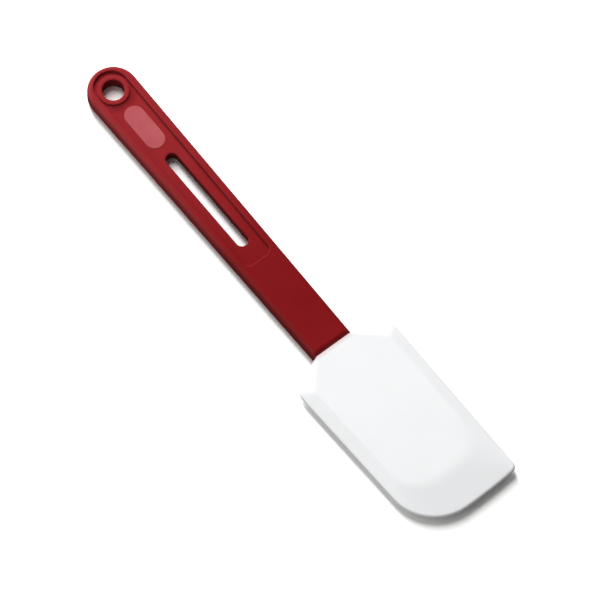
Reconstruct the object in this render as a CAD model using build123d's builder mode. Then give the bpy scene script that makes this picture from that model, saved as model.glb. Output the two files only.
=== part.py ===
from build123d import *
import os
from math import acos, atan2, degrees, hypot

# A scraper spatula for hot pans, lying flat. Millimetres, +Z up.
# X runs from the hanging end to the blade's tip, on the handle's centre line. The origin lies half way
# along the tool, in the plane that it rests on. The blade's straight side is towards +Y.

# Whole tool
total_length = 241.3
blade_length = 88.1

# Handle: one stiff nylon moulding with a rim round a thinner web
handle_thickness = 8.0
end_radius = 10.6
neck_width = 18.4
neck_end_round = 0.8
handle_edge_round = 1.8
rim_width = 3.0
rim_inner_round = 0.5
recess_floor_round = 0.4
recess_depth = 1.6
recess_corner_radius = 3.0
recess_past_slot = 9.0

# Hanging hole and the ring that strengthens it
hang_hole_diameter = 9.0
ring_wall = 2.2
ring_drop = 0.4
ring_round = 0.8

# Long slot through the web
slot_width = 5.2
slot_length = 50.5
slot_from_hole = 35.8
slot_rim_round = 0.5

# Oval inlay in the web
label_length = 22.0
label_width = 8.6
label_thickness = 0.7
label_proud = 0.15
label_edge_round = 0.12
label_clearance = 0.05
label_from_hole = 9.0

# Tongue of the handle, hidden in the blade, with lock holes that the silicone fills
tongue_thickness = 3.2
tongue_length = 64.0
tongue_root_width = 13.0
tongue_flare_length = 16.0
paddle_width = 25.0
paddle_end_width = 22.0
tongue_corner_radius = 8.0
lock_hole_diameter = 5.0
lock_hole_rows = 2
lock_hole_columns = 3
lock_hole_pitch_x = 15.0
lock_hole_pitch_y = 11.0

# Blade: silicone, thick over the tongue and thin at its edges
core_thickness = 6.4
edge_thickness = 2.2
edge_round = 0.5
blade_root_step = 0.7
shoulder_slope_straight = 6.2
shoulder_slope_taper = 7.4
shoulder_radius = 4.5
straight_side_reach = 25.6
taper_side_reach = 23.6
taper_side_draw_in = 2.2
tip_bow = 1.2
small_corner_radius = 3.0
big_corner_radius = 21.0

# Raised core of the blade, inside its bevels
side_bevel_width = 5.4
shoulder_bevel_width = 4.0
tip_bevel_width = 16.0
core_root_inset = 1.8
core_arch_bow = 1.6
core_arch_radius = 13.0
core_shoulder_radius = 5.0
core_round = 1.5

# How far one shape runs into another that it joins
overrun = 1.0

# Places along the tool
tip_x = total_length / 2
neck_x = tip_x - blade_length
hole_x = end_radius - total_length / 2
slot_start_x = hole_x + slot_from_hole
slot_x = slot_start_x + slot_length / 2
recess_end_x = slot_start_x + slot_length + recess_past_slot
label_x = hole_x + label_from_hole + label_length / 2
tongue_end_x = neck_x + tongue_length

# Heights
mid_z = handle_thickness / 2
web_top_z = handle_thickness - recess_depth
label_seat_z = web_top_z + label_proud - label_thickness
mid_plane = Plane.XY.offset(mid_z)

# Sizes that follow from the ones above
neck_half = neck_width / 2
hole_radius = hang_hole_diameter / 2
ring_radius = hole_radius + ring_wall
neck_distance = hypot(neck_x - hole_x, neck_half)
side_angle = degrees(atan2(neck_half, neck_x - hole_x) + acos(end_radius / neck_distance))


def nearest_corner(plan, point):
    """The vertex of a plan that lies nearest to a point."""
    return plan.vertices().sort_by_distance(point)[0]


def blade_section(height, side_inset, shoulder_inset, tip_inset, root_inset, bow, corner_radii):
    """A level section of the blade, drawn in from its outline: root, two shoulders, and a tip edge that
    bows outwards between its corners."""
    corner_x = tip_x - tip_inset - bow
    corners = [
        (neck_x + shoulder_slope_straight + shoulder_inset, straight_side_reach - side_inset),
        (corner_x, straight_side_reach - side_inset),
        (corner_x, taper_side_draw_in - taper_side_reach + side_inset),
        (neck_x + shoulder_slope_taper + shoulder_inset, side_inset - taper_side_reach),
    ]
    root_half = neck_half + blade_root_step - root_inset
    with BuildSketch(Plane.XY.offset(height)) as section:
        with BuildLine():
            Polyline(corners[1], corners[0], (neck_x, root_half), (neck_x, -root_half), corners[3], corners[2])
            SagittaArc(corners[2], corners[1], -bow)
        make_face()
        for corner, radius in zip(corners, corner_radii):
            fillet(nearest_corner(section, corner), radius=radius)
    return section.sketch


# Tongue
with BuildPart() as tongue:
    with BuildSketch(mid_plane):
        with BuildLine():
            FilletPolyline(
                (neck_x - overrun, tongue_root_width / 2),
                (neck_x, tongue_root_width / 2),
                (neck_x + tongue_flare_length, paddle_width / 2),
                (tongue_end_x, paddle_end_width / 2),
                (tongue_end_x, -paddle_end_width / 2),
                (neck_x + tongue_flare_length, -paddle_width / 2),
                (neck_x, -tongue_root_width / 2),
                (neck_x - overrun, -tongue_root_width / 2),
                radius=[0, 0] + [tongue_corner_radius] * 4 + [0, 0],
                close=True,
            )
        make_face()
        lock_centre_x = (neck_x + tongue_flare_length + tongue_end_x) / 2
        with Locations((lock_centre_x, 0)):
            with GridLocations(lock_hole_pitch_x, lock_hole_pitch_y, lock_hole_columns, lock_hole_rows):
                Circle(lock_hole_diameter / 2, mode=Mode.SUBTRACT)
    extrude(amount=tongue_thickness / 2, both=True)

# The handle's plan: a round end about the hole, and two sides that leave it tangentially for the neck
with BuildSketch() as bar_plan:
    with BuildLine():
        round_end = CenterArc((hole_x, 0), end_radius, side_angle, 360 - 2 * side_angle)
        Polyline(round_end @ 1, (neck_x, -neck_half), (neck_x, neck_half), round_end @ 0)
    make_face()

# Handle
with BuildPart() as handle:
    # upper half of the bar, with its long edges rounded
    with BuildSketch(mid_plane):
        add(bar_plan.sketch)
    extrude(amount=handle_thickness - mid_z)
    outer_edges = handle.faces().sort_by(Axis.Z)[-1].edges().sort_by(Axis.X)[:-1]
    fillet(outer_edges, radius=handle_edge_round)
    end_edges = handle.faces().sort_by(Axis.X)[-1].edges().sort_by(Axis.Z)[1:]
    fillet(end_edges, radius=neck_end_round)

    # recess inside the rim, from the round end to a little past the slot
    with BuildSketch(Plane.XY.offset(handle_thickness)) as recess_plan:
        add(bar_plan.sketch)
        offset(amount=-rim_width, mode=Mode.REPLACE)
        with Locations((recess_end_x, 0)):
            Rectangle(total_length, 2 * end_radius, align=(Align.MIN, Align.CENTER), mode=Mode.SUBTRACT)
        fillet(recess_plan.vertices().group_by(Axis.X)[-1], radius=recess_corner_radius)
    extrude(amount=-recess_depth, mode=Mode.SUBTRACT)
    recess_levels = handle.edges(Select.LAST).group_by(Axis.Z)
    fillet(recess_levels[-1], radius=rim_inner_round)
    fillet(recess_levels[0], radius=recess_floor_round)

    # ring on the web, then the hanging hole through it
    with BuildSketch(Plane.XY.offset(web_top_z)):
        with Locations((hole_x, 0)):
            Circle(ring_radius)
    extrude(amount=recess_depth - ring_drop)
    with BuildSketch(mid_plane):
        with Locations((hole_x, 0)):
            Circle(hole_radius)
    extrude(amount=handle_thickness, mode=Mode.SUBTRACT)
    ring_top = handle.faces().filter_by(Plane.XY).group_by(Axis.Z)[-2]
    fillet(ring_top.edges(), radius=ring_round)

    # long slot
    with BuildSketch(mid_plane):
        with Locations((slot_x, 0)):
            SlotOverall(slot_length, slot_width)
    extrude(amount=handle_thickness, mode=Mode.SUBTRACT)
    fillet(handle.edges(Select.LAST).group_by(Axis.Z)[-1], radius=slot_rim_round)

    # lower half, the same as the upper one
    mirror(about=mid_plane)

    # seat of the oval inlay, in the upper face of the web
    with BuildSketch(Plane.XY.offset(label_seat_z)):
        with Locations((label_x, 0)):
            SlotOverall(label_length + 2 * label_clearance, label_width + 2 * label_clearance)
    extrude(amount=label_thickness, mode=Mode.SUBTRACT)

    # the tongue is one moulding with the bar
    add(tongue.part)
handle.part.label = "handle"

# Oval inlay
with BuildPart() as label_inlay:
    with BuildSketch(Plane.XY.offset(label_seat_z)):
        with Locations((label_x, 0)):
            SlotOverall(label_length, label_width)
    extrude(amount=label_thickness)
    fillet(label_inlay.faces().sort_by(Axis.Z)[-1].edges(), radius=label_edge_round)
label_inlay.part.label = "label_inlay"

# Blade
edge_top_z = mid_z + edge_thickness / 2
outline_radii = [shoulder_radius, small_corner_radius, big_corner_radius, shoulder_radius]
core_radii = [core_shoulder_radius, core_arch_radius, core_arch_radius, core_shoulder_radius]
rim_radii = [radius - edge_round for radius in outline_radii]
outline_section = blade_section(edge_top_z - edge_round, 0, 0, 0, 0, tip_bow, outline_radii)
rim_section = blade_section(edge_top_z, edge_round, 0, edge_round, edge_round, tip_bow, rim_radii)
core_section = blade_section(
    mid_z + core_thickness / 2,
    side_bevel_width,
    shoulder_bevel_width,
    tip_bevel_width,
    core_root_inset,
    core_arch_bow,
    core_radii,
)

with BuildPart() as blade:
    # edge band, with its rim broken
    extrude(outline_section, amount=edge_thickness / 2 - edge_round, dir=(0, 0, -1))
    loft([outline_section, rim_section], ruled=True)

    # bevels, from the rim up to the raised core, with a soft shoulder where they leave it
    loft([rim_section, core_section], ruled=True)
    core_edges = blade.faces().sort_by(Axis.Z)[-1].edges().sort_by(Axis.X)[1:]
    fillet(core_edges, radius=core_round)

    # lower half, then the space that the tongue fills
    mirror(about=mid_plane)
    add(tongue.part, mode=Mode.SUBTRACT)
blade.part.label = "blade"

os.makedirs("parts", exist_ok=True)
export_step(handle.part, "parts/handle.step")
export_step(label_inlay.part, "parts/label_inlay.step")
export_step(blade.part, "parts/blade.step")
print("handle volume", handle.part.volume, "blade volume", blade.part.volume)
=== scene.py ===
# %% [markdown]
# # A scraper spatula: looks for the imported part
#
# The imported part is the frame: a handle, an oval inlay and a blade that lie flat, +X towards the
# blade's tip and +Z up, in metres. Its solids have the right sizes, but their faceted meshes show
# every triangle in a soft light. A modifier could smooth them, but it would round their crisp
# edges too. So this script builds a smooth skin for each of the three from the same sizes, gives
# each a procedural material, and lights them on a pale table.

import math

import bpy
import numpy as np
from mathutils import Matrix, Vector
from mathutils.geometry import delaunay_2d_cdt


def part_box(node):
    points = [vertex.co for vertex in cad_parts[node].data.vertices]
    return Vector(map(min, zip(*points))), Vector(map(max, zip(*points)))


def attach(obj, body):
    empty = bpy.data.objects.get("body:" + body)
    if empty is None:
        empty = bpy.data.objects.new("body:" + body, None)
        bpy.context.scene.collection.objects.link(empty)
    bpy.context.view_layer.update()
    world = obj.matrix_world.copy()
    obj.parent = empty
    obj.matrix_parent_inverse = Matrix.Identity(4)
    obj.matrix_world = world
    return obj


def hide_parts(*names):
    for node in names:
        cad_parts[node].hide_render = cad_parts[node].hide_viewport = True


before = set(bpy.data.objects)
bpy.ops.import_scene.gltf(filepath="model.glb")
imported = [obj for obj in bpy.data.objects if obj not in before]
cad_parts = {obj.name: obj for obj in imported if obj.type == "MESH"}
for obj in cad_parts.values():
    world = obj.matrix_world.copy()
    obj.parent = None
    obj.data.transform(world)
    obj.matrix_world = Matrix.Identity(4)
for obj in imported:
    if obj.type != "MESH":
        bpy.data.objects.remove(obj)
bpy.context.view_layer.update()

# %% [markdown]
# ## Sizes
#
# A maker's drawing gives a few driving sizes, and everything else follows from them. Those that
# several pieces share are named here, and the others where they are first needed. They are in
# millimetres, as in the part's source, and are scaled to metres once, when a mesh is made. Only
# some roundings, the rim, the ring's height and the inlay's place differ a little from the
# source, where the photograph's soft light shows them more closely.

# %% Sizes
MM = 0.001
MID_Z, WEB_Z, TOP_Z = 4.0, 6.4, 8.0
HOLE_X, NECK_X, TIP_X = -110.05, 32.55, 120.65
NECK_HALF = 9.2
print("blade", round(TIP_X - NECK_X, 2), "mm long, handle", TOP_Z, "mm thick")

# %% [markdown]
# ## Loops
#
# Seen from above, the handle, its recess, the slot, the hole, the inlay and the blade are all
# convex shapes with rounded corners. They could be drawn as curves and converted, but the point
# counts would then be Blender's choice. Here one function works out every outline, so that the
# loops of a piece match point for point. Each corner becomes an arc that touches both of its
# sides. A side may also bow outwards as an arc of its own, as the blade's tip does, and the two
# corners beside it then touch that arc instead of a line.


# %% Arcs at the corners
def corner_arcs(corners, radii):
    """A row for each corner: centre x and y, radius, first and last angle. Corner P lies between
    sides with outward unit normals a and b. Its centre is P - r (a + b) / (1 + a.b), and its arc
    turns from a to b. Side k runs from corner k to the next one, and the sides' lengths, directions
    and normals come with the rows."""
    travel = np.roll(corners, -1, 0) - corners
    lengths = np.linalg.norm(travel, axis=1)
    travel = travel / lengths[:, None]
    normal = np.stack([travel[:, 1], -travel[:, 0]], 1)
    before = np.roll(normal, 1, 0)
    spread = 1 + (before * normal).sum(1)[:, None]
    centre = corners - radii[:, None] * (before + normal) / spread
    start = np.arctan2(before[:, 1], before[:, 0])
    stop = np.arctan2(normal[:, 1], normal[:, 0])
    return np.column_stack([centre, radii, start, stop]), lengths, travel, normal


def bow_out(arcs, corners, sides, bowed, bow):
    """Side number bowed, of length l, becomes an arc of radius (l^2 / 4 + bow^2) / (2 bow). The
    corner arcs beside it slide along their other sides until they touch it from inside, where the
    distance between the centres is the difference of the radii."""
    lengths, travel, normal = sides
    after = (bowed + 1) % len(corners)
    big = (lengths[bowed] ** 2 / 4 + bow**2) / (2 * bow)
    middle = (corners[bowed] + corners[after]) / 2 - normal[bowed] * (big - bow)
    for corner, side, way in ((bowed, bowed - 1, 1.0), (after, after, -1.0)):
        radius = arcs[corner, 2]
        reach = normal[side] @ (corners[corner] - middle) - radius
        along = way * math.sqrt((big - radius) ** 2 - reach**2)
        arcs[corner, :2] = middle + normal[side] * reach + travel[side] * along
    touch = arcs[[bowed, after], :2] - middle
    angles = np.arctan2(touch[:, 1], touch[:, 0])
    arcs[bowed, 4], arcs[after, 3] = angles
    return np.insert(arcs, bowed + 1, [*middle, big, *angles], axis=0)


square = np.array([(5.0, -5.0), (5.0, 5.0), (-5.0, 5.0), (-5.0, -5.0)])
print("arcs of a square", corner_arcs(square, np.ones(4))[0].round(2).tolist())

# %% [markdown]
# ### From arcs to points
#
# A loop is the arcs' points with a few evenly spaced points on each side between them. A bowed
# side needs none, since its arc meets both neighbours. One point in place of two that coincide
# keeps the quads of a wall from shrinking to nothing.

# %% Points of a loop
# two points nearer than this coincide, in millimetres
COINCIDE = 1e-6


def rounded_loop(corners, radii, arc_points=9, side_points=6, bowed=None, bow=0.0):
    """Closed loop of points, counter-clockwise: centre + r (cos t, sin t) along each arc, and
    a + (b - a) s with s in even steps along each side from a to b."""
    corners, radii = np.asarray(corners, float), np.asarray(radii, float)
    arcs, *sides = corner_arcs(corners, radii)
    if bowed is not None:
        arcs = bow_out(arcs, corners, sides, bowed, bow)
    turn = (arcs[:, 4] - arcs[:, 3] + math.pi) % (2 * math.pi) - math.pi
    t = arcs[:, 3, None] + turn[:, None] * np.linspace(0, 1, arc_points)
    curved = arcs[:, None, :2] + arcs[:, 2, None, None] * np.stack([np.cos(t), np.sin(t)], -1)
    step = np.linspace(0, 1, side_points + 2)[1:-1, None]
    straight = curved[:, -1:] + (np.roll(curved[:, :1], -1, 0) - curved[:, -1:]) * step
    used = np.ones((len(arcs), arc_points + side_points), bool)
    if bowed is not None:
        used[[bowed, bowed + 1], arc_points:] = False
    loop = np.concatenate([curved, straight], 1)[used]
    gap = np.linalg.norm(loop - np.roll(loop, 1, 0), axis=1)
    return loop[gap > COINCIDE]


print("points of a rounded square", len(rounded_loop(square, np.ones(4))))

# %% [markdown]
# ### Outlines of the handle and its openings
#
# The handle tapers: two straight sides leave the round hanging end tangentially and run to the
# neck. The recess follows them. Both could be drawn in evenly, but in the photograph the rim and
# its rounding are narrower at the hanging end, so there the round end is drawn in by less than
# the sides. The ring, the hole, the slot and the inlay are circles and stadiums.

# %% Outlines of the handle and its openings
END_RADIUS = 10.6
SIDE_DISTANCE = math.hypot(NECK_X - HOLE_X, NECK_HALF)
SIDE_ANGLE = math.atan2(NECK_HALF, NECK_X - HOLE_X) + math.acos(END_RADIUS / SIDE_DISTANCE)
NECK_CORNER = 0.3
THINNER_AT_END = 0.32
RIM_WIDTH, RIM_THINNER_AT_END = 3.35, 1.1
RECESS_END_X, RECESS_CORNER = -14.75, 3.0
# a hair keeps two arcs apart, and a stadium whose half sizes differ by less than EQUAL is a circle
HAIR, EQUAL = 1e-9, 1e-3


def handle_loop(inset, end_x, end_corner, back):
    """The handle's tapered outline drawn in by inset: straight sides
    (x - hole) cos A + y sin A = R - inset, with A the side angle, that run to end_x, and a round
    end that is drawn in less than the sides by back."""
    cosine, sine = math.cos(SIDE_ANGLE), math.sin(SIDE_ANGLE)
    reach = END_RADIUS - inset
    back_x = HOLE_X - reach - back
    end_half, back_half = ((reach - (x - HOLE_X) * cosine) / sine for x in (end_x, back_x))
    corners = [(end_x, -end_half), (end_x, end_half), (back_x, back_half), (back_x, -back_half)]
    round_end = reach + back * cosine / (1 + cosine)
    radii = [end_corner, end_corner, round_end, round_end]
    return rounded_loop(corners, radii, arc_points=25, side_points=30)


def outline_loop(inset):
    """The outer edge, drawn in by a third less at the hanging end, where the rim is thin."""
    return handle_loop(inset, NECK_X - inset, NECK_CORNER, THINNER_AT_END * inset)


def recess_loop(inset):
    """The recess, which reaches nearer to the hanging end than to the sides."""
    end_x, corner = RECESS_END_X - inset, RECESS_CORNER - inset
    return handle_loop(RIM_WIDTH + inset, end_x, corner, RIM_THINNER_AT_END)


def oval_loop(centre_x, length, width, inset=0.0):
    """A stadium, or a circle where length and width are equal. Its corners' radius is a hair less
    than half the width, so that their arcs don't quite meet."""
    a, b = length / 2 - inset, width / 2 - inset
    corners = [(centre_x + a, -b), (centre_x + a, b), (centre_x - a, b), (centre_x - a, -b)]
    side_points = 12 if a - b > EQUAL else 0
    return rounded_loop(corners, [b - HAIR] * 4, arc_points=25, side_points=side_points)


print("side angle", round(math.degrees(SIDE_ANGLE), 3), "degrees")
print("loop points", len(outline_loop(0)), len(recess_loop(0)), len(oval_loop(0, 9, 9)))

# %% [markdown]
# ## Patches
#
# A moulded piece has walls, roundings and flat faces. Boolean cuts would give them too, with
# stray long triangles beside each cut. Here a wall is a stack of loops with a height for each,
# joined ring to ring. Stacks run up and inwards, which turns every face outwards. A rounding is a
# wall whose loops follow an arc.


# %% Walls
def wall(loops, heights):
    """Rings (u, v) -> (loop_u(v), height_u), as points and quads."""
    flat = np.stack(loops)
    rings, count = flat.shape[:2]
    level = np.broadcast_to(np.reshape(heights, (-1, 1, 1)), (rings, count, 1))
    points = np.concatenate([flat, level], 2)
    index = np.arange(rings * count).reshape(rings, count)
    turned = np.roll(index, -1, 1)
    quads = np.stack([index[:-1], turned[:-1], turned[1:], index[1:]], -1)
    return points.reshape(-1, 3), quads.reshape(-1, 4)


def arc(radius, steps, turn=90.0):
    """How far a rounding of this radius has gone in and up after each step, r (1 - cos t) and
    r sin t, with t from 0 to turn degrees."""
    t = np.radians(np.linspace(0, turn, steps))
    return radius * (1 - np.cos(t)), radius * np.sin(t)


def mirrored(patch):
    """The same patch below the middle plane: z -> 2 MID_Z - z, with its faces turned round."""
    points, faces = patch
    return points * [1, 1, -1] + [0, 0, 2 * MID_Z], faces[:, ::-1]


print("quads of two square rings", len(wall([square, square], [0.0, 1.0])[1]))

# %% [markdown]
# ### Flat faces
#
# A flat face fills the room between loops. One face with many corners could have no holes, and a
# grid of quads would not follow the outlines. Blender's constrained Delaunay triangulation fills
# it with triangles on the loops' own points, so walls and flat faces share their edge points. It
# fills the holes and hollows too, and those triangles are left out again.

# %% Flat faces
# how near two points may be before the triangulation joins them, and the height of a line
CLOSE, SLIVER = 1e-6, 2e-5


def within(points, loop):
    """Even-odd test: True where a ray along +X from the point crosses the loop an odd number of
    times."""
    a, b = loop[None], np.roll(loop, -1, 0)[None]
    y = points[:, None, 1]
    spans = (a[..., 1] > y) != (b[..., 1] > y)
    rise = np.where(spans, b[..., 1] - a[..., 1], 1.0)
    x = a[..., 0] + (y - a[..., 1]) / rise * (b[..., 0] - a[..., 0])
    return (spans & (x > points[:, None, 0])).sum(1) % 2 == 1


def flat_face(height, outer, *holes):
    """The level face inside outer and outside the holes, as points and triangles that face up. A
    triangle's height is twice its area over its longest side, and one lower than SLIVER is no
    more than a line."""
    loops = [outer, *holes]
    points = np.concatenate(loops)
    first = np.cumsum([0] + [len(loop) for loop in loops])
    rows = [np.arange(a, b) for a, b in zip(first[:-1], first[1:])]
    edges = np.concatenate([np.stack([row, np.roll(row, -1)], 1) for row in rows]).tolist()
    made = delaunay_2d_cdt([Vector(p) for p in points], edges, [], 0, CLOSE)
    found, sources = made[2], made[3]
    triangles = np.array([ids[0] for ids in sources])[np.array(found)]
    middle = points[triangles].mean(1)
    keep = within(middle, outer)
    for hole in holes:
        keep &= ~within(middle, hole)
    triangles = triangles[keep]
    a, b, c = (points[triangles[:, k]] for k in range(3))
    area = (b[:, 0] - a[:, 0]) * (c[:, 1] - a[:, 1]) - (b[:, 1] - a[:, 1]) * (c[:, 0] - a[:, 0])
    triangles[area < 0] = triangles[area < 0][:, ::-1]
    sides = [np.linalg.norm(p - q, axis=1) for p, q in ((a, b), (b, c), (c, a))]
    triangles = triangles[np.abs(area) > SLIVER * np.max(sides, axis=0)]
    return np.column_stack([points, np.full(len(points), height)]), triangles


print("triangles of a square with a round hole", len(flat_face(0.0, square, oval_loop(0, 5, 5))[1]))

# %% [markdown]
# ### From patches to a piece
#
# The patches of a piece meet point for point, so they could stay apart and still look closed.
# Each patch would be shaded on its own, though, and its seams would show. Here points that agree
# to a hundredth of a micrometre become one, and smooth shading then runs over every seam. An edge
# that doesn't have exactly two faces would be a hole or a fold, so these are counted.

# %% From patches to a piece
WELD_DECIMALS = 5


def make_piece(name, patches):
    """One smooth closed mesh from patches: their points are put together and equal ones are
    welded."""
    first = np.cumsum([0] + [len(points) for points, _ in patches])
    points = np.concatenate([points for points, _ in patches])
    points = np.round(points, WELD_DECIMALS)
    welded, index = np.unique(points, axis=0, return_inverse=True)
    index = index.reshape(-1)
    faces = [index[corners + start].tolist() for start, (_, corners) in zip(first, patches)]
    mesh = bpy.data.meshes.new(name)
    mesh.from_pydata((welded * MM).tolist(), [], sum(faces, []))
    mesh.validate()
    mesh.polygons.foreach_set("use_smooth", np.ones(len(mesh.polygons), bool))
    piece = bpy.data.objects.new(name, mesh)
    bpy.context.scene.collection.objects.link(piece)

    edge_faces = np.zeros(len(mesh.edges), int)
    loop_edges = np.zeros(len(mesh.loops), int)
    mesh.loops.foreach_get("edge_index", loop_edges)
    np.add.at(edge_faces, loop_edges, 1)
    open_edges = int((edge_faces != 2).sum())
    print(name, "points", len(welded), "faces", len(mesh.polygons), "open edges", open_edges)
    low, high = welded.min(0), welded.max(0)
    print("  from", low.round(3).tolist(), "to", high.round(3).tolist(), "mm")
    return piece


print("points are welded to", 10.0**-WELD_DECIMALS, "mm")

# %% [markdown]
# ## Handle
#
# The real handle is one stiff moulding: a rim round a thinner web, which a ring and a slot pass
# through. It could be a box with bevels, but its sides taper and its rim follows them, so it is a
# skin of walls and flat faces, made for the upper half and mirrored. The outer wall goes up from
# the middle and over its round edge, which takes up most of the rim. It ends in a narrow flat
# ring, as every rounding here does, which keeps the shading of the flat face beside it level.

# %% Handle: outer wall
EDGE_ROUND = 2.2
SUPPORT, NARROW_SUPPORT = 0.1, 0.05

across, rise = arc(EDGE_ROUND, 11)
outer_inset = np.concatenate([[0.0], across, [EDGE_ROUND + SUPPORT]])
outer_z = np.concatenate([[MID_Z], TOP_Z - EDGE_ROUND + rise, [TOP_Z]])
outer_wall = wall([outline_loop(d) for d in outer_inset], outer_z)
print("outer wall", len(outer_inset), "rings")

# %% [markdown]
# ### Recess
#
# The recess saves plastic and gives the fingers a hold. A plain step would look cut with a knife,
# so its wall goes down from a round at the rim into a small hollow at the floor. That hollow is
# small because the wall passes close by the ring's foot.

# %% Handle: recess
RIM_INNER_ROUND, FLOOR_ROUND = 0.5, 0.2

rim_across, rim_rise = arc(RIM_INNER_ROUND, 6)
floor_across, floor_rise = arc(FLOOR_ROUND, 5)
recess_inset = [
    [-RIM_INNER_ROUND - SUPPORT],
    -rim_across[::-1],
    floor_across,
    [FLOOR_ROUND + NARROW_SUPPORT],
]
recess_z = [
    [TOP_Z],
    TOP_Z - RIM_INNER_ROUND + rim_rise[::-1],
    WEB_Z + FLOOR_ROUND - floor_rise,
    [WEB_Z],
]
recess_inset = np.concatenate(recess_inset)
recess_wall = wall([recess_loop(d) for d in recess_inset], np.concatenate(recess_z))
print("recess", round(TOP_Z - WEB_Z, 2), "mm deep")

# %% [markdown]
# ### Ring and hanging hole
#
# A raised ring strengthens the plastic round the hanging hole. It could be a torus sunk into the
# web, but its top is flatter and its foot meets the web in a small hollow. So its profile climbs
# from the web, turns over a round top and goes down the hole, always inwards.

# %% Handle: ring and hanging hole
RING_WIDTH, HOLE_WIDTH = 13.4, 9.0
RING_WALL = (RING_WIDTH - HOLE_WIDTH) / 2
RING_TOP_Z, RING_ROUND, RING_FOOT = 7.3, 0.6, 0.1

foot_across, foot_rise = arc(RING_FOOT, 4)
top_across, top_rise = arc(RING_ROUND, 9)
ring_inset = [
    [-RING_FOOT - NARROW_SUPPORT],
    -foot_rise[::-1],
    top_across,
    RING_WALL - top_across[::-1],
    [RING_WALL],
]
round_z = RING_TOP_Z - RING_ROUND + top_rise
ring_z = [[WEB_Z], WEB_Z + foot_across[::-1], round_z, round_z[::-1], [MID_Z]]
ring_inset = np.concatenate(ring_inset)
ring_loops = [oval_loop(HOLE_X, RING_WIDTH, RING_WIDTH, d) for d in ring_inset]
ring_wall = wall(ring_loops, np.concatenate(ring_z))
print("ring", RING_WIDTH, "mm across, its wall", round(RING_WALL, 2), "mm")

# %% [markdown]
# ### Slot and seat
#
# The long slot goes through the web, and the inlay lies in a shallow seat nearer to the hanging
# end. Both could be drawn on, but the slot shows the table and its own shaded wall. The slot's
# rim is rounded. The seat is a little wider than the inlay and has a flat floor under it.

# %% Handle: slot and seat
SLOT_X, SLOT_LENGTH, SLOT_WIDTH, SLOT_ROUND = -49.0, 50.5, 5.2, 0.5
LABEL_X, LABEL_LENGTH, LABEL_WIDTH = -89.6, 21.6, 8.6
LABEL_GAP, SEAT_CHAMFER, SEAT_Z = 0.05, 0.04, 5.85

slot_across, slot_rise = arc(SLOT_ROUND, 6)
slot_inset = np.concatenate([[-SLOT_ROUND - SUPPORT], -slot_across[::-1], [0.0]])
slot_z = np.concatenate([[WEB_Z], WEB_Z - SLOT_ROUND + slot_rise[::-1], [MID_Z]])
slot_loops = [oval_loop(SLOT_X, SLOT_LENGTH, SLOT_WIDTH, d) for d in slot_inset]
slot_wall = wall(slot_loops, slot_z)

mouth = LABEL_GAP + SEAT_CHAMFER
seat_inset = [-LABEL_GAP - SUPPORT, -mouth, -LABEL_GAP, -LABEL_GAP, 0.0]
seat_z = [WEB_Z, WEB_Z, WEB_Z - SEAT_CHAMFER, SEAT_Z, SEAT_Z]
seat_loops = [oval_loop(LABEL_X, LABEL_LENGTH, LABEL_WIDTH, d) for d in seat_inset]
seat = [wall(seat_loops, seat_z), flat_face(SEAT_Z, seat_loops[-1])]
print("slot", SLOT_LENGTH, "x", SLOT_WIDTH, "mm, seat", round(WEB_Z - SEAT_Z, 2), "mm deep")

# %% [markdown]
# ### Rim and web
#
# The flat top of the rim lies between the outer wall and the recess, and the web between the
# recess, the ring and the slot. Only the upper web has the seat's opening as well, so the web is
# made once for each side.

# %% Handle: rim and web
rim_face = flat_face(TOP_Z, outline_loop(outer_inset[-1]), recess_loop(recess_inset[0]))
web_edge = recess_loop(recess_inset[-1])
web_holes = [ring_loops[0], slot_loops[0]]
web_above = flat_face(WEB_Z, web_edge, *web_holes, seat_loops[0])
web_below = mirrored(flat_face(WEB_Z, web_edge, *web_holes))
print("rim", len(rim_face[1]), "triangles, upper web", len(web_above[1]), "triangles")

# %% [markdown]
# ### Tongue
#
# Inside the blade the handle goes on as a flared plate with six holes, which the silicone fills
# and grips. It never shows, and could be left out, but the skin stands for the whole solid. So it
# is a plain plate with upright walls, and the handle is made of it and everything above.

# %% Handle: tongue
TONGUE_Z = 5.6
root_x, flare_x, end_x = NECK_X - 1.0, NECK_X + 16.0, NECK_X + 64.0
root_half, flare_half, end_half = 6.1, 12.5, 11.0
LOCK_HOLE, LOCK_PITCH, LOCK_Y = 5.0, 15.0, 5.5

tongue_corners = [
    (end_x, -end_half),
    (end_x, end_half),
    (flare_x, flare_half),
    (root_x, root_half),
    (root_x, -root_half),
    (flare_x, -flare_half),
]
tongue_loop = rounded_loop(tongue_corners, [8.0, 8.0, 8.0, 0.2, 0.2, 8.0])
lock_x = (flare_x + end_x) / 2 + LOCK_PITCH * np.arange(-1, 2)
lock_places = [(x, y) for x in lock_x for y in (-LOCK_Y, LOCK_Y)]
lock_holes = [oval_loop(x, LOCK_HOLE, LOCK_HOLE) + [0, y] for x, y in lock_places]
tongue = [wall([tongue_loop, tongue_loop], [MID_Z, TONGUE_Z])]
tongue += [flat_face(TONGUE_Z, tongue_loop, *lock_holes)]
tongue += [wall([hole, hole], [TONGUE_Z, MID_Z]) for hole in lock_holes]

upper = [outer_wall, recess_wall, ring_wall, slot_wall, rim_face, *tongue]
lower = [mirrored(patch) for patch in upper]
handle = make_piece("nylon_handle", [*upper, *lower, web_above, web_below, *seat])

# %% [markdown]
# ## Oval inlay
#
# The real inlay is a thin oval patch of a paler plastic. A painted oval would do from afar, but a
# separate piece catches light along its edge: it sits in its seat and stands 0.15 mm above the
# web, with a fine rounding.

# %% Oval inlay
LABEL_PROUD, LABEL_ROUND, LABEL_SUPPORT = 0.15, 0.12, 0.08
LABEL_TOP_Z = WEB_Z + LABEL_PROUD

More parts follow.
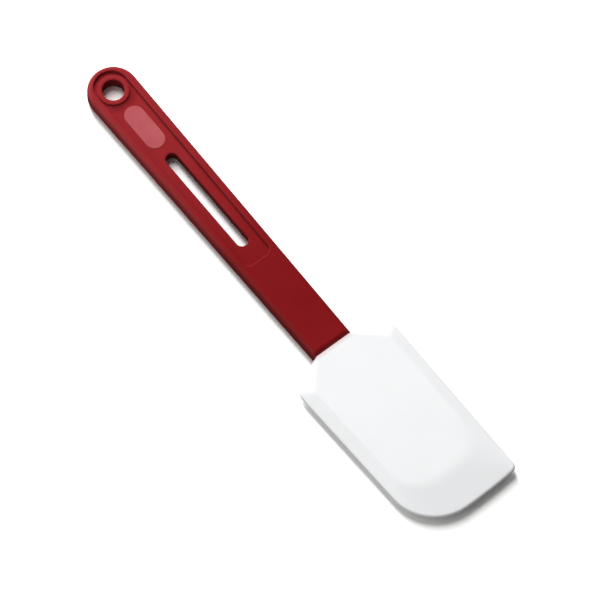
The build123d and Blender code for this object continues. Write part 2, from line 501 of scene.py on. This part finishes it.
across, rise = arc(LABEL_ROUND, 5)
inlay_inset = np.concatenate([[LABEL_ROUND, 0.0], across, [LABEL_ROUND + LABEL_SUPPORT]])
inlay_z = np.concatenate([[SEAT_Z, SEAT_Z], LABEL_TOP_Z - LABEL_ROUND + rise, [LABEL_TOP_Z]])
inlay_loops = [oval_loop(LABEL_X, LABEL_LENGTH, LABEL_WIDTH, d) for d in inlay_inset]
bottom_points, bottom_faces = flat_face(SEAT_Z, inlay_loops[0])
inlay_patches = [
    wall(inlay_loops, inlay_z),
    flat_face(LABEL_TOP_Z, inlay_loops[-1]),
    (bottom_points, bottom_faces[:, ::-1]),
]
inlay = make_piece("oval_inlay", inlay_patches)

# %% [markdown]
# ## Blade
#
# The real blade is silicone moulded over the handle's tongue, thick along the middle and thin at
# its edges. Sculpting or a subdivided cage would lose its even bevels, so it is a blend of level
# sections. A level section has a straight side, a square corner, a slightly bowed tip, a big
# round corner, a side that draws in towards the tip, and two sloped shoulders.

# %% Blade: sections
STRAIGHT_REACH, TAPER_REACH, TAPER_DRAW_IN = 25.6, 23.6, 2.2
STRAIGHT_SLOPE, TAPER_SLOPE = 6.2, 7.4
BLADE_STEP, ROOT_CORNER = 0.7, 0.4
TIP_SIDE = 2


def blade_loop(side, shoulder, tip, root, bow, radii):
    """The blade's outline drawn in by these insets at its sides, shoulders, tip and root, with its
    corners' radii from the shoulder of the tapered side round to that of the straight side."""
    corner_x = TIP_X - tip - bow
    root_half = NECK_HALF + BLADE_STEP - root
    corners = [
        (NECK_X, -root_half),
        (NECK_X + TAPER_SLOPE + shoulder, side - TAPER_REACH),
        (corner_x, side - (TAPER_REACH - TAPER_DRAW_IN)),
        (corner_x, STRAIGHT_REACH - side),
        (NECK_X + STRAIGHT_SLOPE + shoulder, STRAIGHT_REACH - side),
        (NECK_X, root_half),
    ]
    radii = [ROOT_CORNER, *radii, ROOT_CORNER]
    return rounded_loop(corners, radii, arc_points=21, side_points=14, bowed=TIP_SIDE, bow=bow)


outline = blade_loop(side=0, shoulder=0, tip=0, root=0, bow=1.2, radii=[4.5, 21.0, 3.0, 4.5])
rim = blade_loop(side=0.62, shoulder=0, tip=0.85, root=0.5, bow=1.2, radii=[4.0, 20.3, 2.3, 4.0])
core = blade_loop(side=5.4, shoulder=4.0, tip=16.0, root=1.8, bow=1.6, radii=[5, 13, 13, 5])
blade_width = float(np.ptp(outline[:, 1]))
print("blade sections of", len(outline), "points,", round(blade_width, 2), "mm wide")

# %% [markdown]
# ### Blade: from the rim to the core
#
# The skin runs from the outline over a rounded rim, up the bevels as a straight blend of two
# sections, and into the level core. A sharp ridge round the core would be simpler, but the
# photograph has a soft one. So with u from 0 at the rim to 1 at the core's edge, the height's
# share is u up to 1 - e, then u - (u - 1 + e)^2 / 4e up to 1 + e, then 1. The rounding of the rim
# takes up nearly all of the edge's half thickness and stops short of level, where the bevels
# begin.

# %% Blade: from the rim to the core
RIM_START_Z, CORE_Z = 4.2, 7.2
RIM_ROUND, RIM_TURN = 1.0, 72.0
EASE = 0.16
ROOT_ROUND = 0.4

across, rise = arc(RIM_ROUND, 10, RIM_TURN)
rim_z = RIM_START_Z + rise[-1]
# even steps up the bevel, finer ones over the soft ridge, and one last ring on the level core
steps = [np.linspace(0.02, 0.8, 12), np.linspace(1 - EASE, 1 + EASE, 13), [1 + EASE + 0.02]]
u = np.concatenate(steps)
eased = u - (u - 1 + EASE) ** 2 / (4 * EASE)
level = np.where(u < 1 - EASE, u, np.where(u > 1 + EASE, 1.0, eased))
rounding = [outline + (rim - outline) * a / across[-1] for a in across]
bevel = [rim + (core - rim) * v for v in u]
loops = np.stack([outline, *rounding, *bevel])
heights = np.concatenate([[MID_Z], RIM_START_Z + rise, rim_z + (CORE_Z - rim_z) * level])

# the root face, flat against the handle, has its upper edge rounded too
climb = np.clip(heights - CORE_Z + ROOT_ROUND, 0, ROOT_ROUND)
root_inset = ROOT_ROUND - np.sqrt(ROOT_ROUND**2 - climb**2)
root_inset[-1] += SUPPORT
loops[..., 0] = np.maximum(loops[..., 0], NECK_X + root_inset[:, None])

blade_upper = [wall(loops, heights), flat_face(CORE_Z, loops[-1])]
blade = make_piece("silicone_blade", blade_upper + [mirrored(patch) for patch in blade_upper])

# %% [markdown]
# ## Materials
#
# All three plastics are moulded, so their patterns are faint: slow clouds of colour, a fine grain
# left by the mould, and rubbed edges. Image textures would need files and would show their
# pixels, so the patterns are noise nodes on object coordinates. These are metres here, so noise
# of scale 1 / size has features of that size, and a bump's distance is its depth in metres.


# %% Material helpers
def linear(colour):
    """sRGB hex to linear RGBA: c / 12.92 up to 0.04045, else ((c + 0.055) / 1.055) ^ 2.4."""
    c = np.array([int(colour[k : k + 2], 16) for k in (1, 3, 5)]) / 255
    return (*np.where(c <= 0.04045, c / 12.92, ((c + 0.055) / 1.055) ** 2.4), 1.0)


def add(tree, kind, inputs=(), **settings):
    """Add a node. Inputs are pairs of a socket's name or place and its value: a node links its
    first output, a socket is linked as it is, and anything else is set."""
    node = tree.nodes.new("ShaderNode" + kind)
    for key, value in settings.items():
        setattr(node, key, value)
    for key, value in dict(inputs).items():
        if isinstance(value, bpy.types.Node):
            value = value.outputs[0]
        if isinstance(value, bpy.types.NodeSocket):
            tree.links.new(value, node.inputs[key])
        else:
            node.inputs[key].default_value = value
    return node


def start_finish(name):
    """A material with an empty node tree, and its object coordinates."""
    material = bpy.data.materials.new(name)
    material.use_nodes = True
    tree = material.node_tree
    tree.nodes.clear()
    return material, tree, add(tree, "TexCoord").outputs["Object"]


# places of a Mix node's sockets, several of which have the same name: the share of the second
# input, the two colours and the mixed one, and the two numbers
SHARE, FIRST, SECOND, MIXED = 0, 6, 7, 2
LESSER, GREATER = 2, 3
# a noise node's values lie mostly between these
NOISE_LOW, NOISE_HIGH = 0.3, 0.7
print("mid grey as linear", [round(float(v), 4) for v in linear("#808080")])

# %% [markdown]
# ### Red nylon
#
# The handle is nylon with short glass fibres, injection moulded in a spark-eroded mould. To the
# eye that gives a deep red with a satin sheen rather than a gloss, and faint streaks along the
# way that the melt ran. The hanging end is painted paler and pinker than the neck: painted light
# and painted sheen, which stand for the light that falls off along the handle, and its rubbed
# edges are paler still. One flat red would do for the colour, but not for this fading, so two
# reds are mixed along the handle.

# %% Red nylon: colour along the handle
nylon, tree, place = start_finish("moulded_red_nylon")
length_way = add(tree, "SeparateXYZ", {0: place}).outputs["X"]

# clouds of colour about 18 mm across, and streaks 12 mm long and 2 mm wide along the handle
cloud = add(tree, "TexNoise", {"Vector": place, "Scale": 1 / 0.018, "Detail": 2.0})
stretched = add(tree, "Mapping", {"Vector": place, "Scale": (1 / 6, 1.0, 1.0)})
streak = add(tree, "TexNoise", {"Vector": stretched, "Scale": 1 / 0.002, "Detail": 3.0})
streak_share = add(tree, "Math", {0: streak, 1: 0.4}, operation="MULTIPLY")
mottle = add(tree, "Math", {0: cloud, 1: 0.6, 2: streak_share}, operation="MULTIPLY_ADD")

# painted light and sheen: 1 at the hanging end, falling to 0 between the slot and the blade
painted_light_fade = {"Value": length_way, "From Min": -0.115, "From Max": 0.015, "To Min": 1.0, "To Max": 0.0}
painted_light_share = add(tree, "MapRange", painted_light_fade, interpolation_type="SMOOTHSTEP")
neck_end_reds = {SHARE: mottle, FIRST: linear("#72060b"), SECOND: linear("#8a0f15")}
neck_end_red = add(tree, "Mix", neck_end_reds, data_type="RGBA").outputs[MIXED]
# paler, pinker reds for the hanging end, which paint in light and sheen
hanging_end_reds = {SHARE: mottle, FIRST: linear("#881b21"), SECOND: linear("#a2292e")}
hanging_end_red = add(tree, "Mix", hanging_end_reds, data_type="RGBA").outputs[MIXED]
reds = {SHARE: painted_light_share, FIRST: neck_end_red, SECOND: hanging_end_red}
body_red = add(tree, "Mix", reds, data_type="RGBA").outputs[MIXED]
print(nylon.name, len(tree.nodes), "nodes for its colour")

# %% [markdown]
# ### Red nylon: rubbed edges and surface
# Edges rub first, and show paler. A bevel node could find them, but only one of Blender's
# renderers knows it. The rounded edges of this handle are the faces that lean, so the normal's
# height z finds them as well: z^2 (1 - z^2) is a quarter on a face that leans 45 degrees, and 0
# on level and upright ones. Their paleness is scaled by the painted light share, so it is wear
# and painted light together, and falls off from the hanging end towards the neck. The sheen
# varies with the clouds, and a fine grain breaks it up.

# %% Red nylon: rubbed edges and surface
upright = add(tree, "SeparateXYZ", {0: add(tree, "NewGeometry").outputs["Normal"]}).outputs["Z"]
squared = add(tree, "Math", {0: upright, 1: upright}, operation="MULTIPLY")
rest = add(tree, "Math", {0: 1.0, 1: squared}, operation="SUBTRACT")
lean = add(tree, "Math", {0: squared, 1: rest}, operation="MULTIPLY")
patchy = add(tree, "TexNoise", {"Vector": place, "Scale": 1 / 0.004, "Detail": 3.0})
rubbed = add(tree, "Math", {0: lean, 1: patchy}, operation="MULTIPLY")
# edge wear scaled by the painted light share: partly wear, partly painted light
rub_and_painted_light_share = add(tree, "Math", {0: rubbed, 1: painted_light_share}, operation="MULTIPLY")
edge_mix = {SHARE: rub_and_painted_light_share, FIRST: body_red, SECOND: linear("#b4474b")}
red = add(tree, "Mix", edge_mix, data_type="RGBA").outputs[MIXED]

# the mould's grain is about 0.05 mm, drawn ten times as coarse, because finer would not show
grain = add(tree, "TexNoise", {"Vector": place, "Scale": 1 / 0.0005, "Detail": 3.0})
satin = {"From Min": NOISE_LOW, "From Max": NOISE_HIGH, "To Min": 0.34, "To Max": 0.42}
gloss = add(tree, "MapRange", {"Value": cloud, **satin})
waves = add(tree, "Bump", {"Height": cloud, "Distance": 0.00012, "Strength": 1.0})
grained = {"Height": grain, "Distance": 0.000012, "Strength": 1.0, "Normal": waves}
relief = add(tree, "Bump", grained)
look = {"Base Color": red, "Roughness": gloss, "IOR": 1.53, "Normal": relief}
surface = add(tree, "BsdfPrincipled", look)
add(tree, "OutputMaterial", {"Surface": surface})
print(nylon.name, len(tree.nodes), "nodes")

# %% [markdown]
# ### Pale inlay
#
# The inlay is a second, paler shot of plastic with a duller surface: chalky pink, lightly
# mottled, as a printed or pressed patch looks once its marks have worn off. It could share the
# nylon's material with a mask, but a material of its own keeps both simple.

# %% Pale inlay
pale, tree, place = start_finish("pressed_pale_pink_plastic")
# clouds about 6 mm across, and the grain of a matt stamp, 0.4 mm
cloud = add(tree, "TexNoise", {"Vector": place, "Scale": 1 / 0.006, "Detail": 3.0})
grain = add(tree, "TexNoise", {"Vector": place, "Scale": 1 / 0.0004, "Detail": 3.0})
pinks = {SHARE: cloud, FIRST: linear("#a94b51"), SECOND: linear("#bc5d62")}
pink = add(tree, "Mix", pinks, data_type="RGBA").outputs[MIXED]
chalky = {"From Min": NOISE_LOW, "From Max": NOISE_HIGH, "To Min": 0.46, "To Max": 0.56}
dull = add(tree, "MapRange", {"Value": cloud, **chalky})
relief = add(tree, "Bump", {"Height": grain, "Distance": 0.00001, "Strength": 1.0})
look = {"Base Color": pink, "Roughness": dull, "IOR": 1.5, "Normal": relief}
surface = add(tree, "BsdfPrincipled", look)
add(tree, "OutputMaterial", {"Surface": surface})
print(pale.name, len(tree.nodes), "nodes")

# %% [markdown]
# ### White silicone
#
# The blade is white silicone rubber, moulded with a fine matt skin. Light goes a little way in
# and comes out again, so that its edges look soft. A plain white diffuse shader would look like
# card, so subsurface scattering gives the softness. The pink of the first two millimetres beside
# the handle is painted: a gradient paints in the red light that the handle throws back and the
# shade at its foot.

# %% White silicone
silicone, tree, place = start_finish("moulded_white_silicone")
length_way = add(tree, "SeparateXYZ", {0: place}).outputs["X"]
# clouds about 20 mm across, and a matt grain of 0.03 mm drawn ten times as coarse, because finer
# would not show
cloud = add(tree, "TexNoise", {"Vector": place, "Scale": 1 / 0.02, "Detail": 2.0})
grain = add(tree, "TexNoise", {"Vector": place, "Scale": 1 / 0.0003, "Detail": 2.0})
whites = {SHARE: cloud, FIRST: linear("#eff0f1"), SECOND: linear("#f4f5f6")}
plain_white = add(tree, "Mix", whites, data_type="RGBA").outputs[MIXED]

# painted red bounce light and shade: pink over the first 2.2 mm of the blade beside the handle
painted_bounce_range = {"From Min": 0.0325, "From Max": 0.0347, "To Min": 1.0, "To Max": 0.0}
painted_red_bounce = add(tree, "MapRange", {"Value": length_way, **painted_bounce_range})
painted_bounce_mix = {SHARE: painted_red_bounce, FIRST: plain_white, SECOND: linear("#e6cdcf")}
white = add(tree, "Mix", painted_bounce_mix, data_type="RGBA").outputs[MIXED]

matt_range = {"From Min": NOISE_LOW, "From Max": NOISE_HIGH, "To Min": 0.48, "To Max": 0.56}
matt = add(tree, "MapRange", {"Value": cloud, **matt_range})
waves = add(tree, "Bump", {"Height": cloud, "Distance": 0.0001, "Strength": 1.0})
grained = {"Height": grain, "Distance": 0.000008, "Strength": 1.0, "Normal": waves}
relief = add(tree, "Bump", grained)
look = {
    "Base Color": white,
    "Roughness": matt,
    "IOR": 1.41,
    "Subsurface Weight": 0.25,
    "Subsurface Radius": (1.0, 0.9, 0.85),
    "Subsurface Scale": 0.0012,
    "Normal": relief,
}
surface = add(tree, "BsdfPrincipled", look)
add(tree, "OutputMaterial", {"Surface": surface})
print(silicone.name, len(tree.nodes), "nodes")

# %% [markdown]
# ## Putting the pieces on the frame
#
# Each skin stands for its node and rides on the one body, since nothing on this tool is jointed.
# The imported nodes could be deleted, but they carry the sizes that everything is checked against,
# so they stay in the model, hidden.

# %% Pieces on the frame
rows = [
    (handle, "handle", "handle_nylon", nylon),
    (inlay, "label_inlay", "inlay_plastic", pale),
    (blade, "blade", "blade_silicone", silicone),
]
for piece, node, slot, material in rows:
    piece.data.materials.append(material)
    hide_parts(node)
    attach(piece, "root")
    low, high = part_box(node)
    print(piece.name, "stands for", node, [round(v / MM, 2) for v in (*low, *high)])

# %% [markdown]
# ## Table
#
# The tool lies on a plain pale table. A white surround alone would leave it floating, so the
# table keeps its shadow. The camera sees the table at 1.35 times its light, which makes it white
# but for that shadow, while the light that it sends back to the tool is that of a pale surface.
# No metal or glass here has to mirror a white room, so reflections see the table dark, which
# keeps the red deep along the handle's sides. These tones are linear already, because 1.35 has no
# hex value.

# %% Table
TABLE_SIZE = 3.0
# a fiftieth of a millimetre below the tool, because two faces in one plane would flicker
TABLE_Z = -0.00002
LIT_TONE, MIRRORED_TONE = (0.5, 0.5, 0.49, 1.0), (0.03, 0.03, 0.03, 1.0)
SEEN_TONE = (1.35, 1.35, 1.33, 1.0)

bpy.ops.mesh.primitive_plane_add(size=TABLE_SIZE, location=(0, 0, TABLE_Z))
table = bpy.context.object
table.name = "table"
table_paint = bpy.data.materials.new("pale_table")
table_paint.use_nodes = True
tree = table_paint.node_tree
tree.nodes.clear()
path = add(tree, "LightPath").outputs
unseen_tones = {SHARE: path["Is Glossy Ray"], FIRST: LIT_TONE, SECOND: MIRRORED_TONE}
unseen = add(tree, "Mix", unseen_tones, data_type="RGBA").outputs[MIXED]
tones = {SHARE: path["Is Camera Ray"], FIRST: unseen, SECOND: SEEN_TONE}
tone = add(tree, "Mix", tones, data_type="RGBA").outputs[MIXED]
add(tree, "OutputMaterial", {"Surface": add(tree, "BsdfDiffuse", {"Color": tone})})
table.data.materials.append(table_paint)
print("table of", TABLE_SIZE, "m at", round(table.location.z / MM, 3), "mm")

# %% [markdown]
# ## Light
#
# The photograph was taken in soft studio light. Lamps alone would have to be many, and each would
# show as a spot on the nylon. So the light between them is a surround with smooth gradients,
# which has no edges to mirror. The room gives a little light from above, more from the hanging
# end, and a white card low on the tapered side (-Y) lifts the walls that face the camera.
# Reflections see a surround of their own, a soft glow low behind the hanging end, so the nylon
# has a sheen there and no hot spot.

# %% Light: surround
world = bpy.data.worlds.new("surround")
bpy.context.scene.world = world
world.use_nodes = True
tree = world.node_tree
tree.nodes.clear()
path = add(tree, "LightPath").outputs
direction = add(tree, "TexCoord").outputs["Generated"]


def glow(axis, start, full, least, most):
    """Level of the surround: a smooth step from least to most, as the cosine between a direction
    and the axis goes from start to full."""
    unit = Vector(axis).normalized()
    product = add(tree, "VectorMath", {0: direction, 1: unit}, operation="DOT_PRODUCT")
    cosine = product.outputs["Value"]
    steps = {"Value": cosine, "From Min": start, "From Max": full, "To Min": least, "To Max": most}
    return add(tree, "MapRange", steps, interpolation_type="SMOOTHSTEP")


room = glow((-0.4, 0.0, 0.9), start=0.0, full=0.9, least=0.01, most=0.15)
card = glow((-0.45, -1.0, 0.35), start=0.3, full=1.0, least=0.0, most=0.75)
fill = add(tree, "Math", {0: room, 1: card}, operation="ADD")
sheen = glow((-1.0, 0.15, 0.0), start=0.35, full=0.95, least=0.01, most=0.65)
unseen_levels = {SHARE: path["Is Glossy Ray"], LESSER: fill, GREATER: sheen}
unseen = add(tree, "Mix", unseen_levels, data_type="FLOAT")
levels = {SHARE: path["Is Camera Ray"], LESSER: unseen, GREATER: 1.0}
level = add(tree, "Mix", levels, data_type="FLOAT")
background = add(tree, "Background", {"Color": (1.0, 1.0, 1.0, 1.0), "Strength": level})
add(tree, "OutputWorld", {"Surface": background})
print(world.name, len(tree.nodes), "nodes")

# %% [markdown]
# ### Key light
#
# One key light stands high on the hanging end's side, a little towards the straight side (+Y). A
# sun would cast hard edges, and a square lamp equally soft ones all round. This lamp is a strip,
# narrow across and long up its slope, so its light comes from many heights but from one side. The
# shadow beyond the tip and inside the slot fades softly, and those along the handle stay thin.
# The level is plain: a white surface that lies flat at the neck renders at about its own colour.

# %% Light: key
KEY_PLACE, KEY_WATTS = (-1.4, 0.42, 1.5), 62.0
KEY_ACROSS, KEY_UP_SLOPE = 0.35, 2.6

key = bpy.data.lights.new("key", "AREA")
key.shape = "RECTANGLE"
key.size, key.size_y = KEY_ACROSS, KEY_UP_SLOPE
key.energy = KEY_WATTS
key_holder = bpy.data.objects.new("key", key)
key_holder.location = KEY_PLACE
# the lamp's back, its Z axis, points away from the tool, and its Y axis up the slope
key_holder.rotation_euler = key_holder.location.to_track_quat("Z", "Y").to_euler()
key_holder.visible_glossy = False
bpy.context.scene.collection.objects.link(key_holder)
print("key", key.energy, "W at", [round(v, 2) for v in key_holder.location], "m")

# %% [markdown]
# ## Camera
#
# The photograph shows almost no perspective, as a long lens from afar does. Back, right and up
# are the camera's own axes, with back read off the photograph. The point half way along the tool
# and half way up it falls on a known pixel, and the aim is the point that falls in the middle of
# the picture.

# %% Camera
FRAME_PIXELS, SENSOR_MM = 600, 36
MIDDLE = FRAME_PIXELS / 2
PIXELS_PER_METRE = 2494.0
DISTANCE = 10.0
ANCHOR, ANCHOR_PIXEL = (0, 0, 0.004), (282.45, 289.55)

back = Vector((0.3199, -0.2516, 0.9134)).normalized()
right = Vector((0, 0, 1)).cross(back).normalized()
up = back.cross(right)
to_right = (MIDDLE - ANCHOR_PIXEL[0]) / PIXELS_PER_METRE
to_bottom = (MIDDLE - ANCHOR_PIXEL[1]) / PIXELS_PER_METRE
aim = Vector(ANCHOR) + right * to_right - up * to_bottom
camera = bpy.data.cameras.new("camera")
camera.lens = PIXELS_PER_METRE * DISTANCE * SENSOR_MM / FRAME_PIXELS
holder = bpy.data.objects.new("camera", camera)
holder.location = aim + back * DISTANCE
holder.rotation_euler = back.to_track_quat("Z", "Y").to_euler()
bpy.context.scene.collection.objects.link(holder)
bpy.context.scene.camera = holder
print("aim", [round(v / MM, 2) for v in aim], "mm, lens", round(camera.lens, 1), "mm")

# %% [markdown]
# ## Finish
#
# The standard view shows colours as they are written, where a film-like one would dull the white.

# %% Finish
bpy.context.scene.view_settings.view_transform = "Standard"
